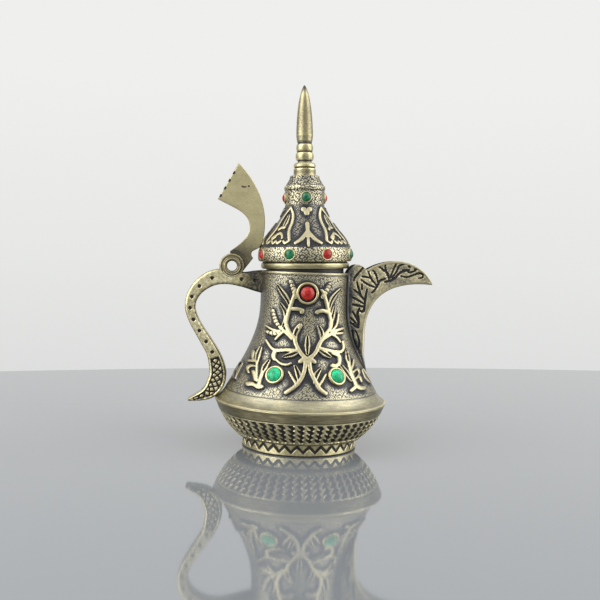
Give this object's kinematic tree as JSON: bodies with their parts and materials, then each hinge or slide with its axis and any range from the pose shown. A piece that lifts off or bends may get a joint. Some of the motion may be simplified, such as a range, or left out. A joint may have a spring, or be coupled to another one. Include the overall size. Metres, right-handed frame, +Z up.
{
  "type": "dallah coffee pot",
  "caption": "Small cast metal dallah with a flared belly, open beak spout, strap handle and a hinged spired lid with a thumb lever, set with glass cabochons.",
  "frame": {"origin": "centre of the foot ring, on the surface that the pot stands on", "axes": "+Z up, +X towards the spout, Y along the lid's hinge"},
  "size_m": [0.1068, 0.0738, 0.1549],
  "materials": {
    "antique_brass": "antique plated casting, dark patina in the recesses, rubbed bright on the high places",
    "steel_fastener": "plain zinc-plated steel, inside the pot",
    "red_glass": "polished opaque glass cabochon",
    "green_glass": "polished opaque glass cabochon"
  },
  "bodies": {
    "pot": {"upper_body": "antique_brass", "lower_bowl": "antique_brass", "foot_ring": "antique_brass", "bottom_cover": "antique_brass", "spout": "antique_brass", "handle": "antique_brass", "handle_screws": "steel_fastener", "hinge_rivet": "antique_brass", "neck_stone_front": "red_glass", "neck_stone_back": "red_glass", "belly_stone_1": "green_glass", "belly_stone_2": "green_glass", "belly_stone_3": "green_glass", "belly_stone_4": "green_glass"},
    "lid": {"lid_lever": "antique_brass", "lever_rivets": "steel_fastener", "lid_dome": "antique_brass", "lid_rim": "antique_brass", "finial_base": "antique_brass", "finial_spire": "antique_brass", "finial_stud": "steel_fastener", "finial_washer": "steel_fastener", "band_stone_1": "red_glass", "band_stone_2": "green_glass", "band_stone_3": "red_glass", "band_stone_4": "green_glass", "band_stone_5": "red_glass", "band_stone_6": "green_glass", "band_stone_7": "red_glass", "band_stone_8": "green_glass", "collar_stone_1": "green_glass", "collar_stone_2": "red_glass", "collar_stone_3": "green_glass", "collar_stone_4": "red_glass"}
  },
  "joints": [
    {"name": "lid_hinge", "type": "hinge", "parent": "pot", "child": "lid", "pos_m": [-0.0314, 0, 0.0767], "axis": [0, -1, 0], "range_deg": [0, 95]}
  ]
}
